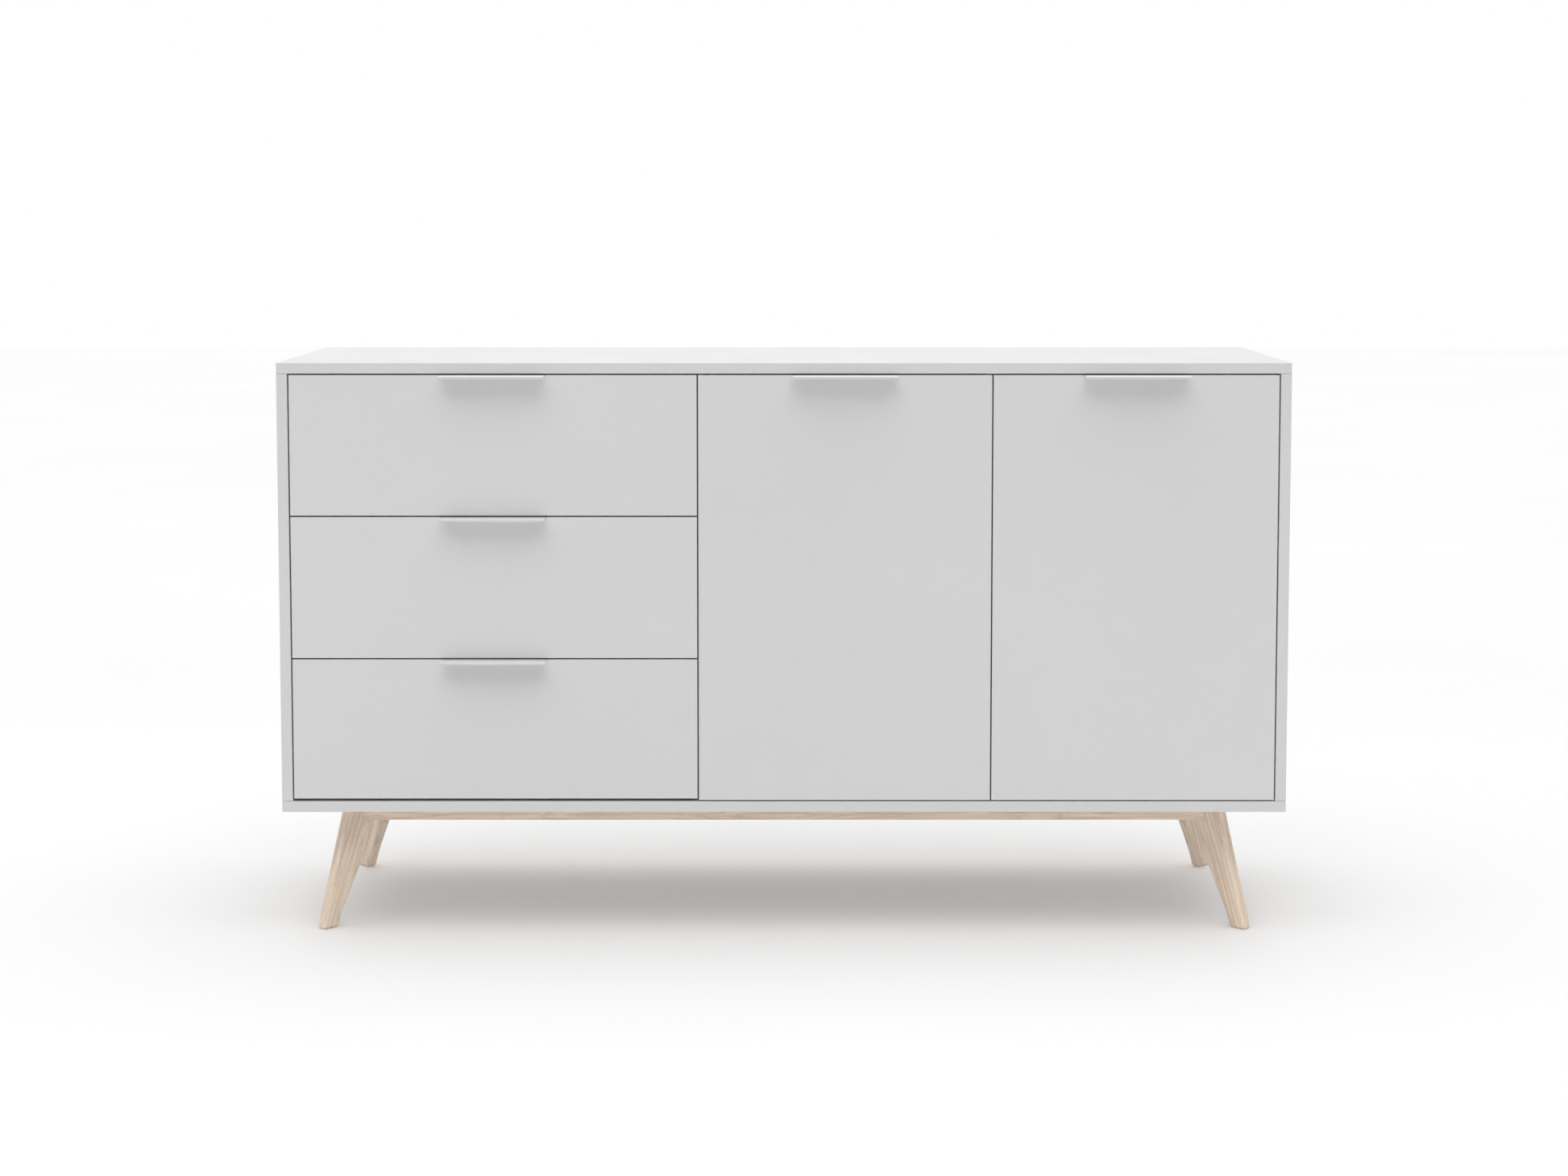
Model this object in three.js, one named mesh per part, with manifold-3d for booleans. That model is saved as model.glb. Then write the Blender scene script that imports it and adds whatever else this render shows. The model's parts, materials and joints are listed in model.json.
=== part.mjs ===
// Sideboard: three drawers beside two hinged doors, on a rail frame with four splayed plank legs.
// Millimetres, +Z up. The fronts face -Y and +X is to the right, seen from the front. The origin is on
// the floor, at the middle of the whole outline with its handles.
import * as THREE from 'three';
import { mergeVertices } from 'three/addons/utils/BufferGeometryUtils.js';
import Module from 'manifold-3d';

// Case
const caseWidth = 1400;
const caseDepth = 400;
const caseHeight = 628;
const boardThickness = 15;
const fitGap = 0.3; // left between pieces that touch
const cutOvershoot = 1; // how far a cut passes the face that it opens
const drawerBayWidth = 558; // clear width between the left side and the first divider
const leftCupboardWidth = 392.5; // the right cupboard takes what is left
const dividerSetback = 17.5; // front edge of a divider behind the faces of the fronts
const backThickness = 3;
const backInset = 9; // rear face of the back panel in front of the rear edges
const grooveDepth = 5.5;
const grooveSlack = 0.6; // groove wider than the panel that it holds
const shelfSetback = 45;
const shelfBackGap = 3;
const shelfSideGap = 1;
const shelfDrop = 300; // shelf top below the underside of the top board

// Fronts
const revealGap = 2; // between fronts, and between a front and a board
const bottomDrawerGap = 4; // under the lowest drawer front
const topFrontHeight = 195;
const middleFrontHeight = 197; // the bottom front fills what is left
const frontThickness = 15;

// Edge pulls
const pullLength = 145;
const pullReach = 23; // in front of the fronts
const pullWall = 1.5;
const pullLip = 4.2;
const pullFlange = 24; // behind the front

// Drawer boxes and runners
const drawerSideThickness = 12;
const drawerBoxLift = 25; // box above the lower edge of its front
const drawerBoxDrop = 30; // box below the upper edge of the lowest of the fronts
const drawerBackGap = 22.7; // between a box and the back panel
const drawerBottomThickness = 3;
const drawerBottomLift = 12;
const drawerGrooveDepth = 6;
const runnerSpace = 12.7; // between a drawer box and the wall beside it
const runnerWall = 1.2;
const runnerHeight = 45;
const runnerInnerHeight = 34;
const runnerDepth = 9.2;
const runnerLift = 45; // runner centre above the lower edge of the box

// Concealed door hinges
const hingeInset = 95; // from the door's upper and lower edges
const cupRadius = 17.5;
const cupDepth = 12;
const cupWall = 1;
const cupRim = 19.5;
const cupEdge = 22.5; // centre of the cup from the door's edge
const cupSides = 28; // facets round a cup and its bore
const armHeight = 15;
const armThickness = 7;
const plateLength = 58;
const plateHeight = 44;
const plateThickness = 2;
const platePlace = 38; // front end of the plate behind the faces of the fronts
const noseWidth = 18;
const noseGap = 1; // between the nose of the arm and the rim of the cup
const armOverlap = 1; // arm sunk into its plate
const armFrontInset = 2; // root of the arm behind the front end of its plate
const armRearInset = 4; // rear end of the arm in front of the rear end of its plate

// Base
const legHeight = 172;
const legThickness = 17;
const legFootWidth = 26;
const legTopWidth = 51;
const legSplay = 48; // how far the outer edge leans in along the diagonal, foot to top
const legRound = 4.5;
const legRoundSteps = 3;
const legCurveSteps = 7;
// Handles of the curve of a leg's inner edge, as parts of the splay, the top's width and the height
const legLowHandle = { along: 0.46, up: 0.36 };
const legHighHandle = { along: 0.7, up: 0.56 };
const footInsetX = 41; // outermost corner of a foot in from the side of the case
const footInsetY = 12;
const railHeight = 26;
const railThickness = 20;
const railInset = 61; // front face of the front rail behind the faces of the fronts

// Places worked out from the sizes above
const frontY = (pullReach - caseDepth) / 2;
const backY = frontY + caseDepth;
const caseLeft = -caseWidth / 2;
const caseRight = caseWidth / 2;
const caseBase = legHeight;
const caseTop = caseBase + caseHeight;
const innerLeft = caseLeft + boardThickness;
const innerRight = caseRight - boardThickness;
const innerBase = caseBase + boardThickness;
const innerTop = caseTop - boardThickness;
const firstDivider = innerLeft + drawerBayWidth;
const secondDivider = firstDivider + boardThickness + leftCupboardWidth;
const firstReveal = firstDivider + boardThickness / 2;
const secondReveal = secondDivider + boardThickness / 2;
const backPanelRear = backY - backInset;
const backPanelFront = backPanelRear - backThickness;
const frontsTop = innerTop - revealGap;
const frontRear = frontY + frontThickness;
const topFrontBase = frontsTop - topFrontHeight;
const middleFrontTop = topFrontBase - revealGap;
const middleFrontBase = middleFrontTop - middleFrontHeight;
const bottomFrontTop = middleFrontBase - revealGap;
const bottomFrontBase = innerBase + bottomDrawerGap;
const lowestFront = Math.min(topFrontHeight, middleFrontHeight, bottomFrontTop - bottomFrontBase);
const drawerBoxHeight = lowestFront - drawerBoxLift - drawerBoxDrop;
const drawerBoxFront = frontRear + fitGap;
const drawerBoxRear = backPanelFront - drawerBackGap;
const caseMiddleY = (frontY + backY) / 2;

const wasm = await Module();
wasm.setup();

const lacquer = { color: 0xefefed, roughness: 0.55, metalness: 0 };
const hardboard = { color: 0xe4e2dc, roughness: 0.75, metalness: 0 };
const paleWood = { color: 0xcbb8a5, roughness: 0.6, metalness: 0 };
const paintedMetal = { color: 0xf0f0ee, roughness: 0.4, metalness: 0.1 };
const nickel = { color: 0xb9bcc0, roughness: 0.35, metalness: 0.9 };
const zincPlate = { color: 0xa9adb2, roughness: 0.45, metalness: 0.8 };

const group = new THREE.Group();

function addMesh(name, geometry, finish, x = 0, y = 0, z = 0) {
  const mesh = new THREE.Mesh(geometry, new THREE.MeshStandardMaterial(finish));
  mesh.name = name;
  mesh.position.set(x, y, z);
  group.add(mesh);
  return mesh;
}

// A box between two values on each axis.
function boxBetween([x0, x1], [y0, y1], [z0, z1]) {
  const box = new THREE.BoxGeometry(x1 - x0, y1 - y0, z1 - z0);
  return box.translate((x0 + x1) / 2, (y0 + y1) / 2, (z0 + z1) / 2);
}

function toSolid(geometry) {
  const bare = geometry.clone();
  bare.deleteAttribute('normal');
  bare.deleteAttribute('uv');
  const merged = mergeVertices(bare);
  return new wasm.Manifold(
    new wasm.Mesh({
      numProp: 3,
      vertProperties: new Float32Array(merged.attributes.position.array),
      triVerts: new Uint32Array(merged.index.array),
    })
  );
}

function toGeometry(solid) {
  const mesh = solid.getMesh();
  const geometry = new THREE.BufferGeometry();
  geometry.setAttribute('position', new THREE.BufferAttribute(mesh.vertProperties, mesh.numProp));
  geometry.setIndex(new THREE.BufferAttribute(mesh.triVerts, 1));
  geometry.computeVertexNormals();
  return geometry;
}

function cutAway(geometry, tools) {
  return toGeometry(tools.reduce((solid, tool) => solid.subtract(toSolid(tool)), toSolid(geometry)));
}

// An outline of [a, b] points extruded by length.
function extrude(points, length) {
  const shape = new THREE.Shape(points.map(([a, b]) => new THREE.Vector2(a, b)));
  return new THREE.ExtrudeGeometry(shape, { depth: length, bevelEnabled: false });
}

// An outline of [y, z] points extruded along +X.
function extrudeAlongX(points, length) {
  return extrude(points, length).rotateY(Math.PI / 2).rotateX(Math.PI / 2);
}

// An outline of [x, z] points extruded along +Y.
function extrudeAlongY(points, length) {
  const mirrored = points.map(([x, z]) => [x, -z]);
  return extrude(mirrored, length).rotateX(-Math.PI / 2);
}

// Grooves for the back panel run along the inside of the top, the bottom and both sides.
const backGrooveY = [backPanelFront - grooveSlack / 2, backPanelRear + grooveSlack / 2];
const backGrooveX = [innerLeft - grooveDepth, innerRight + grooveDepth];
const backGrooveZ = [innerBase - grooveDepth, innerTop + grooveDepth];
const backGroove = () => boxBetween(backGrooveX, backGrooveY, backGrooveZ);

function makeCase() {
  const width = [caseLeft, caseRight];
  const depth = [frontY, backY];
  const height = [innerBase + fitGap, innerTop - fitGap];
  const top = boxBetween(width, depth, [innerTop, caseTop]);
  const bottom = boxBetween(width, depth, [caseBase, innerBase]);
  const left = boxBetween([caseLeft, innerLeft], depth, height);
  const right = boxBetween([innerRight, caseRight], depth, height);
  addMesh('top_board', cutAway(top, [backGroove()]), lacquer);
  addMesh('bottom_board', cutAway(bottom, [backGroove()]), lacquer);
  addMesh('side_left', cutAway(left, [backGroove()]), lacquer);
  addMesh('side_right', cutAway(right, [backGroove()]), lacquer);

  const dividerDepth = [frontY + dividerSetback, backPanelFront - fitGap];
  for (const [name, x] of [['divider_left', firstDivider], ['divider_right', secondDivider]]) {
    addMesh(name, boxBetween([x, x + boardThickness], dividerDepth, height), lacquer);
  }

  const back = boxBetween(
    [backGrooveX[0] + fitGap, backGrooveX[1] - fitGap],
    [backPanelFront, backPanelRear],
    [backGrooveZ[0] + fitGap, backGrooveZ[1] - fitGap]
  );
  addMesh('back_panel', back, hardboard);

  const shelfTop = innerTop - shelfDrop;
  const shelfDepth = [frontY + shelfSetback, backPanelFront - shelfBackGap];
  const bays = [
    ['shelf_left', firstDivider + boardThickness, secondDivider],
    ['shelf_right', secondDivider + boardThickness, innerRight],
  ];
  for (const [name, x0, x1] of bays) {
    const across = [x0 + shelfSideGap, x1 - shelfSideGap];
    addMesh(name, boxBetween(across, shelfDepth, [shelfTop - boardThickness, shelfTop]), lacquer);
  }
}

// The shallow rebate that lets an edge pull lie flush in the top edge of a front.
function pullRebate(centreX, topZ) {
  const half = pullLength / 2 + fitGap;
  return boxBetween(
    [centreX - half, centreX + half],
    [frontY - cutOvershoot, frontRear + cutOvershoot],
    [topZ - pullWall - fitGap, topZ + cutOvershoot]
  );
}

// A bent plate: it lies over the top edge, turns down behind the front and ends in a short lip.
function makePull(name, centreX, topZ) {
  const rear = frontThickness + fitGap;
  const section = [
    [-pullReach, -pullLip],
    [-pullReach + pullWall, -pullLip],
    [-pullReach + pullWall, -pullWall],
    [rear, -pullWall],
    [rear, -pullFlange],
    [rear + pullWall, -pullFlange],
    [rear + pullWall, 0],
    [-pullReach, 0],
  ];
  const pull = extrudeAlongX(section, pullLength);
  addMesh(name, pull, paintedMetal, centreX - pullLength / 2, frontY, topZ);
}

function makeDrawer(label, frontBase, frontTop) {
  const frontX = [innerLeft + revealGap, firstReveal - revealGap / 2];
  const centreX = (frontX[0] + frontX[1]) / 2;
  const boxX = [innerLeft + runnerSpace, firstDivider - runnerSpace];
  const boxBase = frontBase + drawerBoxLift;
  const boxTop = boxBase + drawerBoxHeight;
  const boxY = [drawerBoxFront, drawerBoxRear];
  const innerX = [boxX[0] + drawerSideThickness, boxX[1] - drawerSideThickness];
  const bottomZ = [boxBase + drawerBottomLift, boxBase + drawerBottomLift + drawerBottomThickness];
  const groove = boxBetween(
    [innerX[0] - drawerGrooveDepth, innerX[1] + drawerGrooveDepth],
    [frontRear - drawerGrooveDepth, boxY[1] + cutOvershoot],
    [bottomZ[0] - grooveSlack / 2, bottomZ[1] + grooveSlack / 2]
  );

  const front = boxBetween(frontX, [frontY, frontRear], [frontBase, frontTop]);
  addMesh(`drawer_${label}_front`, cutAway(front, [pullRebate(centreX, frontTop), groove]), lacquer);
  makePull(`pull_drawer_${label}`, centreX, frontTop);

  const left = boxBetween([boxX[0], innerX[0]], boxY, [boxBase, boxTop]);
  const right = boxBetween([innerX[1], boxX[1]], boxY, [boxBase, boxTop]);
  addMesh(`drawer_${label}_side_left`, cutAway(left, [groove]), lacquer);
  addMesh(`drawer_${label}_side_right`, cutAway(right, [groove]), lacquer);

  const back = boxBetween(
    [innerX[0] + fitGap, innerX[1] - fitGap],
    [boxY[1] - drawerSideThickness, boxY[1]],
    [bottomZ[1] + fitGap, boxTop]
  );
  addMesh(`drawer_${label}_back`, back, lacquer);

  const bottom = boxBetween(
    [innerX[0] - drawerGrooveDepth + fitGap, innerX[1] + drawerGrooveDepth - fitGap],
    [frontRear - drawerGrooveDepth + fitGap, boxY[1]],
    bottomZ
  );
  addMesh(`drawer_${label}_bottom`, bottom, hardboard);
  makeRunners(label, boxX, boxY, boxBase + runnerLift);
}

// Each runner is a wide channel on the wall and a narrower one, facing it, on the drawer box.
function makeRunners(label, boxX, boxY, centreZ) {
  const channel = (height, depth) => [
    [0, -height / 2],
    [depth, -height / 2],
    [depth, -height / 2 + runnerWall],
    [runnerWall, -height / 2 + runnerWall],
    [runnerWall, height / 2 - runnerWall],
    [depth, height / 2 - runnerWall],
    [depth, height / 2],
    [0, height / 2],
  ];
  const mirrorX = (points) => points.map(([x, z]) => [-x, z]).reverse();
  const outer = channel(runnerHeight, runnerDepth);
  const inner = channel(runnerInnerHeight, runnerDepth);
  const length = boxY[1] - boxY[0];
  const left = innerLeft + fitGap;
  const right = firstDivider - fitGap;
  const outerLeft = extrudeAlongY(outer, length);
  const outerRight = extrudeAlongY(mirrorX(outer), length);
  const innerOnLeft = extrudeAlongY(mirrorX(inner), length);
  const innerOnRight = extrudeAlongY(inner, length);
  addMesh(`runner_${label}_left_outer`, outerLeft, zincPlate, left, boxY[0], centreZ);
  addMesh(`runner_${label}_right_outer`, outerRight, zincPlate, right, boxY[0], centreZ);
  addMesh(`runner_${label}_left_inner`, innerOnLeft, zincPlate, boxX[0] - fitGap, boxY[0], centreZ);
  addMesh(`runner_${label}_right_inner`, innerOnRight, zincPlate, boxX[1] + fitGap, boxY[0], centreZ);
}

function makeDrawers() {
  makeDrawer('top', topFrontBase, frontsTop);
  makeDrawer('middle', middleFrontBase, middleFrontTop);
  makeDrawer('bottom', bottomFrontBase, bottomFrontTop);
}

// A door with its hinges: turn is +1 where the hinges are at its left, -1 where they are at its right.
function makeDoor(label, x0, x1, wallX, turn) {
  const doorBase = innerBase + revealGap;
  const centreX = (x0 + x1) / 2;
  const hingeEdge = turn > 0 ? x0 : x1;
  const cupX = hingeEdge + turn * cupEdge;
  const levels = { upper: frontsTop - hingeInset, lower: doorBase + hingeInset };
  const boreLength = cupDepth + cutOvershoot;
  const bores = Object.values(levels).map((z) =>
    new THREE.CylinderGeometry(cupRadius, cupRadius, boreLength, cupSides)
      .translate(cupX, frontRear - cupDepth + boreLength / 2, z)
  );
  const slab = boxBetween([x0, x1], [frontY, frontRear], [doorBase, frontsTop]);
  addMesh(`door_${label}`, cutAway(slab, [pullRebate(centreX, frontsTop), ...bores]), lacquer);
  makePull(`pull_door_${label}`, centreX, frontsTop);

  for (const [level, z] of Object.entries(levels)) {
    addMesh(`hinge_cup_${label}_${level}`, hingeCup(), nickel, cupX, frontRear, z);
    const arm = hingeArm(Math.abs(cupX - wallX));
    const mesh = addMesh(`hinge_arm_${label}_${level}`, arm, nickel, wallX, frontY, z);
    if (turn < 0) mesh.rotation.y = Math.PI;
  }
}

// The cup sinks into the door's rear face, with its rim on the face and its mouth towards +Y.
function hingeCup() {
  const radius = cupRadius - fitGap;
  const floor = fitGap - cupDepth;
  const profile = [
    [0, floor],
    [radius, floor],
    [radius, fitGap],
    [cupRim, fitGap],
    [cupRim, fitGap + cupWall],
    [radius - cupWall, fitGap + cupWall],
    [radius - cupWall, floor + cupWall],
    [0, floor + cupWall],
  ];
  return new THREE.LatheGeometry(profile.map(([r, h]) => new THREE.Vector2(r, h)), cupSides);
}

// A plate on the wall and an arm cranked forward to the cup, whose centre is noseX from the wall.
function hingeArm(noseX) {
  const noseY = frontThickness + fitGap + cupWall + noseGap;
  const plateEnd = platePlace + plateLength;
  const root = fitGap + plateThickness;
  const arm = [
    [root - armOverlap, platePlace + armFrontInset],
    [noseX - noseWidth / 2, noseY + armThickness],
    [noseX - noseWidth / 2, noseY],
    [noseX + noseWidth / 2, noseY],
    [noseX + noseWidth / 2, noseY + armThickness],
    [root + armThickness, platePlace + armThickness],
    [root + armThickness, plateEnd - armRearInset],
    [root - armOverlap, plateEnd - armRearInset],
  ];
  const bar = extrude(arm, armHeight).translate(0, 0, -armHeight / 2);
  const half = plateHeight / 2;
  const plate = boxBetween([fitGap, root], [platePlace, plateEnd], [-half, half]);
  return toGeometry(toSolid(bar).add(toSolid(plate)));
}

// A plank leg in the diagonal upright plane of its corner; outX and outY point out of that corner.
function makeLeg(name, outX, outY) {
  const inX = -outX / Math.SQRT2;
  const inY = -outY / Math.SQRT2;
  const top = legHeight - fitGap;
  const outline = new THREE.Shape();
  outline.moveTo(0, 0);
  outline.lineTo(legFootWidth, 0);
  outline.bezierCurveTo(
    legFootWidth + legSplay * legLowHandle.along, top * legLowHandle.up,
    legSplay + legTopWidth * legHighHandle.along, top * legHighHandle.up,
    legSplay + legTopWidth, top
  );
  outline.lineTo(legSplay, top);
  outline.closePath();
  const plank = new THREE.ExtrudeGeometry(outline, {
    depth: legThickness - 2 * legRound,
    curveSegments: legCurveSteps,
    bevelThickness: legRound,
    bevelSize: legRound,
    bevelOffset: -legRound,
    bevelSegments: legRoundSteps,
  }).translate(0, 0, legRound - legThickness / 2);
  const inward = new THREE.Vector3(inX, inY, 0);
  const up = new THREE.Vector3(0, 0, 1);
  const across = new THREE.Vector3().crossVectors(inward, up);
  const foot = footPlace();
  const leg = addMesh(name, plank, paleWood);
  leg.applyMatrix4(new THREE.Matrix4().makeBasis(inward, up, across));
  leg.position.set(outX * foot.x, caseMiddleY + outY * foot.y, 0);
}

// Middle of a foot's outer edge, from the middle of the case. A foot's outermost corner is half the
// leg's thickness away along the other diagonal.
function footPlace() {
  const corner = legThickness / 2 / Math.SQRT2;
  return {
    x: caseWidth / 2 - footInsetX - corner,
    y: caseDepth / 2 - footInsetY - corner,
  };
}

// The rails form a frame under the case. Each end is mitred at 45 degrees against the face of a leg.
function makeRails() {
  const foot = footPlace();
  const half = legThickness / 2 + fitGap;
  const faceOffset = half * Math.SQRT2;
  const longFace = caseDepth / 2 - railInset; // outer face of the long rails, from the middle
  const diagonal = foot.x - foot.y;
  const shortFace = longFace + diagonal; // the short rails mirror the long ones about the leg
  const railZ = legHeight - railHeight;
  const height = railHeight - fitGap;
  const longEnd = (face) => face + diagonal - faceOffset;
  const shortEnd = (face) => face - diagonal - faceOffset;

  const longInner = longFace - railThickness;
  const shortInner = shortFace - railThickness;
  for (const [name, side] of [['rail_front', -1], ['rail_rear', 1]]) {
    const points = [
      [-longEnd(longFace), side * longFace],
      [longEnd(longFace), side * longFace],
      [longEnd(longInner), side * longInner],
      [-longEnd(longInner), side * longInner],
    ];
    const outline = side < 0 ? points : points.reverse();
    addMesh(name, extrude(outline, height), paleWood, 0, caseMiddleY, railZ);
  }
  for (const [name, side] of [['rail_left', -1], ['rail_right', 1]]) {
    const points = [
      [side * shortFace, -shortEnd(shortFace)],
      [side * shortFace, shortEnd(shortFace)],
      [side * shortInner, shortEnd(shortInner)],
      [side * shortInner, -shortEnd(shortInner)],
    ];
    const outline = side > 0 ? points : points.reverse();
    addMesh(name, extrude(outline, height), paleWood, 0, caseMiddleY, railZ);
  }
}

makeCase();
makeDrawers();
makeDoor('left', firstReveal + revealGap / 2, secondReveal - revealGap / 2, firstDivider + boardThickness, 1);
makeDoor('right', secondReveal + revealGap / 2, innerRight - revealGap, innerRight, -1);
makeLeg('leg_front_left', -1, -1);
makeLeg('leg_front_right', 1, -1);
makeLeg('leg_rear_left', -1, 1);
makeLeg('leg_rear_right', 1, 1);
makeRails();

export default group;
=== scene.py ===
"""Finishes and fittings of a low sideboard: edged white boards, folded pulls, hinges and ash legs."""

import json
import math

import bpy
from mathutils import Matrix, Vector

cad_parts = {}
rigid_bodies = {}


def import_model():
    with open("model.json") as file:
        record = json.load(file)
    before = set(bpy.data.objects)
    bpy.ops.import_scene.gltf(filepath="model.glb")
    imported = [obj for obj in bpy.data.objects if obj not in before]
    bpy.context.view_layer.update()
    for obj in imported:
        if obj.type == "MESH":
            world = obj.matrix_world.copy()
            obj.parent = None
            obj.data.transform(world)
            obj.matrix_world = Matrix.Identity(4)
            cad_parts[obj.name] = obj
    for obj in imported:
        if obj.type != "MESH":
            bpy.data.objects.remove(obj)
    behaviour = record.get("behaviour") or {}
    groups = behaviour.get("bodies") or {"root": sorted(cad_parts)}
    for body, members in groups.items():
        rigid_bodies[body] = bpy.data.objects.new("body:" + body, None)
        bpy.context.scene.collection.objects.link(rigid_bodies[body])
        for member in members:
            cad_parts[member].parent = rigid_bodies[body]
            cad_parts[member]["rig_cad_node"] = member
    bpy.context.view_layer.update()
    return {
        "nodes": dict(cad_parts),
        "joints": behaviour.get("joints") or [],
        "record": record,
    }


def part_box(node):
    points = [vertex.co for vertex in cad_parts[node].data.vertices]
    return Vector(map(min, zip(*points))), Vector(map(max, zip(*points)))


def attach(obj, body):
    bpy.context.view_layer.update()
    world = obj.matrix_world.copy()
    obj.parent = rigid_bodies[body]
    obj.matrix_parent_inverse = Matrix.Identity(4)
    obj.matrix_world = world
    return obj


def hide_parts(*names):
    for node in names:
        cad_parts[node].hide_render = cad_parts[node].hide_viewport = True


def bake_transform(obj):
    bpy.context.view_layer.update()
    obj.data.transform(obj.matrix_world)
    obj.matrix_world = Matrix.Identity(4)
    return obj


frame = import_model()

bl_info = {
    "name": "Sideboard Finisher",
    "version": (1, 0, 0),
    "blender": (4, 5, 0),
    "location": "3D View > Sidebar > Sideboard",
    "description": "Finishes the boards, pulls, hinges, legs and fittings of a sideboard",
    "category": "Object",
}

MM = 0.001
REAR, LEFT, RIGHT, UP = Vector((0, 1, 0)), Vector((-1, 0, 0)), Vector((1, 0, 0)), Vector((0, 0, 1))
DRAWERS = ("top", "middle", "bottom")
DOORS = ("left", "right")
SLOT_OF = {row["node"]: row["material_slot"] for row in frame["record"]["subparts"]}
BODY_OF = {
    node: body for body, nodes in frame["record"]["behaviour"]["bodies"].items() for node in nodes
}

MERGE = 0.01 * MM  # vertices closer than this are one
BURR = 0.25 * MM  # rounding of the edges of cut sheet

# Shelf holes and pins
HOLE_DEPTH = 6.5 * MM
PIN_FROM_FRONT, PIN_FROM_REAR = 45 * MM, 60 * MM  # in from a shelf's edges
PIN_PLAY = 0.2 * MM  # between a shelf and its pins
PIN_IN, PIN_OUT = 6 * MM, 7 * MM  # of its shank, in and out of the wall
PIN_SLACK = 0.1 * MM  # round the shank in its hole
COLLAR = 0.8 * MM  # thickness of a pin's collar

# Pulls
LIP_DROP = 4.2 * MM
PULL_SCREW_IN, PULL_SCREW_UP = 25 * MM, 8 * MM  # in from a pull's end, and up from its edge

# Legs: where the inner edge's curve is pulled to, as shares of its reach and height
LOW_PULL, HIGH_PULL = (0.46, 0.36), (0.7, 0.56)

# Hinge cups
CUP_WALL = 1 * MM
CUP_RIM = 2.3 * MM  # left for the door round the cup
WING_SHORT, WING_LONG, WING_HALF = 9 * MM, 13 * MM, 27 * MM  # of the flange, from the cup's middle
WING_CORNER = 5 * MM
CUP_SCREW_SIDE, CUP_SCREW_APART = 4 * MM, 22.5 * MM

# Hinge arms
PLATE, PLATE_LENGTH, PLATE_CORNER = 2 * MM, 58 * MM, 5 * MM
CHANNEL_LIFT, CHANNEL_SINK = 0.1 * MM, 0.6 * MM  # cut clear of the plate, then let into it
CHANNEL_ROUND = 1.6 * MM
PLATE_SCREW_BACK, PLATE_SCREW_APART = 12 * MM, 15.5 * MM
ARM_HEIGHT = 7 * MM  # of the adjusting screws above the plate
ARM_SCREWS = 14 * MM, 38 * MM  # in from the plate's rear end

# Hinge links, as arcs round the door's axis
LINK_RADII = 18.5 * MM, 22.5 * MM
LINK_THICK, LINK_WIDE = 1.4 * MM, 9 * MM
LINK_FROM, LINK_TO = math.radians(10), math.radians(52)

# Cam caps
CAP_RADIUS, CAP_THICK, CAP_RIM, CAP_RECESS = 8.5 * MM, 1 * MM, 1.2 * MM, 0.25 * MM
CAP_BACK, CAP_UP, CAP_DOWN = 33 * MM, 45 * MM, 32 * MM  # from the front, the bottom and the top

# Light
AIM = Vector((0.03, 0.10, -1))
SUN_SPREAD = math.radians(85)


# ---------------------------------------------------------------- settings


def length(name, description, default):
    return bpy.props.FloatProperty(
        name=name, description=description, default=default, unit="LENGTH", min=0, precision=4
    )


def colour(name, description, default):
    return bpy.props.FloatVectorProperty(
        name=name, description=description, default=default, subtype="COLOR", size=3, min=0, max=1
    )


def strength(name, description, default):
    return bpy.props.FloatProperty(name=name, description=description, default=default, min=0)


class SideboardFinishes(bpy.types.PropertyGroup):
    """Colours of the finishes."""

    white: colour("White", "Melamine face of the boards", (0.705, 0.705, 0.703))
    band: colour("Edge band", "Band on the narrow faces of the boards", (0.695, 0.695, 0.693))
    hardboard: colour("Hardboard", "Printed face of the back and drawer bottoms", (0.68, 0.677, 0.666))
    coat: colour("Powder coat", "Coat of the pulls", (0.66, 0.66, 0.658))
    ash: colour("Ash", "Pale wood between the grain lines", (0.89, 0.735, 0.595))
    ash_grain: colour("Ash grain", "Darker wood of the grain lines", (0.61, 0.465, 0.345))
    nickel: colour("Nickel", "Plating of the hinges and screws", (0.72, 0.71, 0.69))
    zinc: colour("Zinc", "Plating of the runners", (0.66, 0.67, 0.69))
    plastic: colour("Plastic", "Caps over the cam fittings", (0.74, 0.74, 0.72))


class SideboardSizes(bpy.types.PropertyGroup):
    """Sizes of the visible details."""

    arris: length("Arris", "Rounding of a board's edges", 0.7 * MM)
    rail_arris: length("Rail arris", "Rounding of a rail's edges", 1.5 * MM)
    pull_sheet: length("Pull sheet", "Thickness of the sheet that the pulls are folded from", 1.5 * MM)
    pull_fold: length("Pull fold", "Radius of the pulls' folds", 1.3 * MM)
    pull_corner: length("Pull corner", "Rounding of the pulls' corners", 1.6 * MM)
    leg_thickness: length("Leg thickness", "Thickness of a leg's plank", 17 * MM)
    leg_foot: length("Leg foot", "Width of a leg at the floor", 26 * MM)
    leg_top: length("Leg top", "Width of a leg under the case", 51 * MM)
    leg_splay: length("Leg splay", "How far a leg's outer edge leans in over its height", 48 * MM)
    leg_round: length("Leg rounding", "Rounding of a leg's edges", 4.5 * MM)
    foot_inset_x: length("Foot inset, sides", "Corner of a foot in from the side of the case", 41 * MM)
    foot_inset_y: length("Foot inset, front", "Corner of a foot in from the front of the case", 12 * MM)
    hole: length("Shelf hole", "Radius of a shelf pin's hole", 2.5 * MM)
    hole_pitch: length("Hole pitch", "Distance between the holes in a row", 32 * MM)
    screw_head: length("Screw head", "Radius of a screw's head", 3.6 * MM)


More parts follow.
